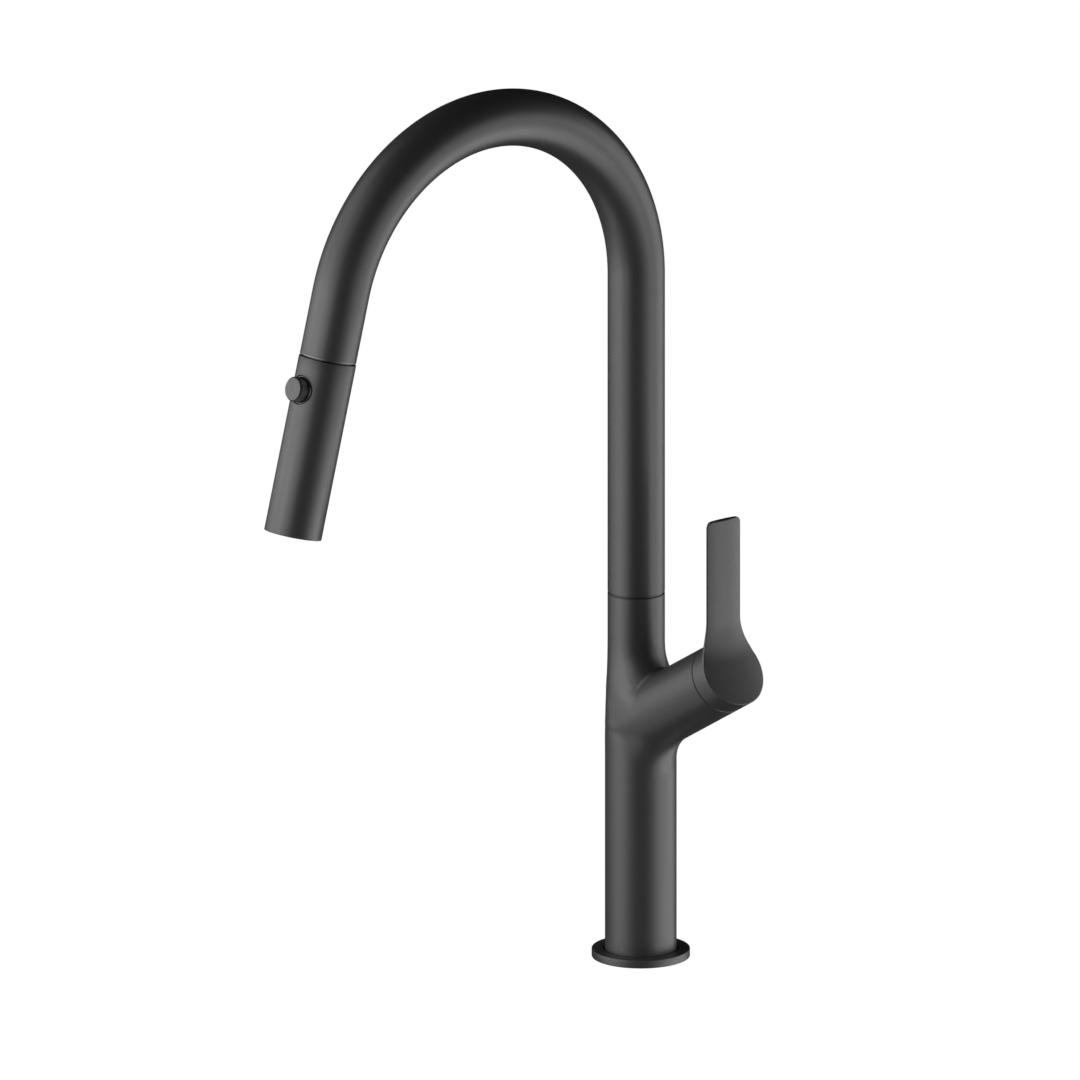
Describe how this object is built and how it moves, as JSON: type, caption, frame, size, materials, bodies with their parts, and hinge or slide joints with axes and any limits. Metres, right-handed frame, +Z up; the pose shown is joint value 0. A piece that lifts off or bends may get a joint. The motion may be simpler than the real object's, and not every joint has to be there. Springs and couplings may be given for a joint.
{
  "type": "pull-down kitchen faucet",
  "caption": "Deck-mounted single-lever kitchen faucet with an angled handle branch, a swivelling gooseneck spout and a magnetically docked pull-down spray head.",
  "frame": {"origin": "centre of the base flange's underside, on the deck plane", "axes": "+Z up along the body, the spout reaches towards -Y, the handle branch leans towards +X"},
  "size_m": [0.1051, 0.2551, 0.454],
  "materials": {
    "satin_black": "satin black coating",
    "black_plastic": "matte",
    "black_rubber": "matte",
    "grey_rubber": "matte",
    "brass": "machined",
    "copper": "drawn tube",
    "ceramic": "lapped",
    "white_plastic": "moulded",
    "steel": "brushed",
    "magnet": "nickel plated",
    "braid": "braided nylon over a rubber tube"
  },
  "bodies": {
    "body": {"base_flange": "satin_black", "flange_gasket": "black_rubber", "body_shell": "satin_black", "inlet_block": "brass", "block_oring": "black_rubber", "hot_riser": "copper", "cold_riser": "copper", "mixed_tube": "copper", "cartridge_seat": "brass", "seat_oring": "black_rubber", "port_seals": "black_rubber", "cartridge_base": "white_plastic", "fixed_disc": "ceramic", "cartridge_housing": "white_plastic", "cartridge_nut": "brass", "bonnet_dome": "satin_black", "lower_bush": "white_plastic", "upper_bush": "white_plastic", "slip_washer": "black_plastic", "spout_screw": "steel"},
    "spout": {"spout_tube": "satin_black", "spout_nipple": "brass", "nipple_orings": "black_rubber", "hose_guide": "white_plastic", "dock_collar": "black_plastic", "dock_magnet": "magnet", "hose_run": "braid", "hose_tail": "brass"},
    "spray_head": {"head_shell": "satin_black", "dock_insert": "black_plastic", "dock_ring": "black_plastic", "hose_stub": "braid", "hose_ferrule": "steel", "hose_nut": "brass", "filter_washer": "black_rubber", "check_valve": "white_plastic", "waterway": "white_plastic", "flow_divider": "white_plastic", "nozzle_plate": "black_plastic", "spray_nozzles": "grey_rubber", "aerator_housing": "steel", "aerator_mesh": "steel", "button_guide": "black_plastic", "head_oring": "black_rubber", "button_spring": "steel"},
    "spray_button": {"button_cap": "black_plastic", "diverter_spool": "white_plastic", "spool_orings": "black_rubber"},
    "rotor": {"rotor": "white_plastic", "pivot_pin": "steel"},
    "disc": {"moving_disc": "ceramic"},
    "handle": {"handle_lever": "satin_black", "valve_stem": "steel", "handle_screw": "steel", "screw_plug": "black_plastic"}
  },
  "joints": [
    {"name": "spout_swivel", "type": "hinge", "parent": "body", "child": "spout", "pos_m": [-0.0035, 0, 0.184], "axis": [0, 0, 1], "continuous": true},
    {"name": "head_pull", "type": "slide", "parent": "spout", "child": "spray_head", "axis": [0, -0.2521, -0.9677], "range_m": [0, 0.25], "stiffness_N_per_m": 10, "springref_m": -0.6},
    {"name": "spray_button", "type": "slide", "parent": "spray_head", "child": "spray_button", "axis": [0, 0.9677, -0.2521], "range_m": [0, 0.003], "stiffness_N_per_m": 1500, "springref_m": -0.002, "deforming": ["button_spring"]},
    {"name": "handle_turn", "type": "hinge", "parent": "body", "child": "rotor", "pos_m": [0.0498, 0, 0.14715], "axis": [0.866, 0, 0.5], "range_deg": [-50, 50]},
    {"name": "handle_lift", "type": "hinge", "parent": "rotor", "child": "handle", "pos_m": [0.0498, 0, 0.14715], "axis": [0, 1, 0], "range_deg": [0, 25]},
    {"name": "disc_slide", "type": "slide", "parent": "rotor", "child": "disc", "axis": [-0.5, 0, 0.866], "range_m": [0, 0.00265]}
  ],
  "couplings": [
    {"joint": "disc_slide", "follows": "handle_lift", "m_per_rad": 0.006}
  ]
}
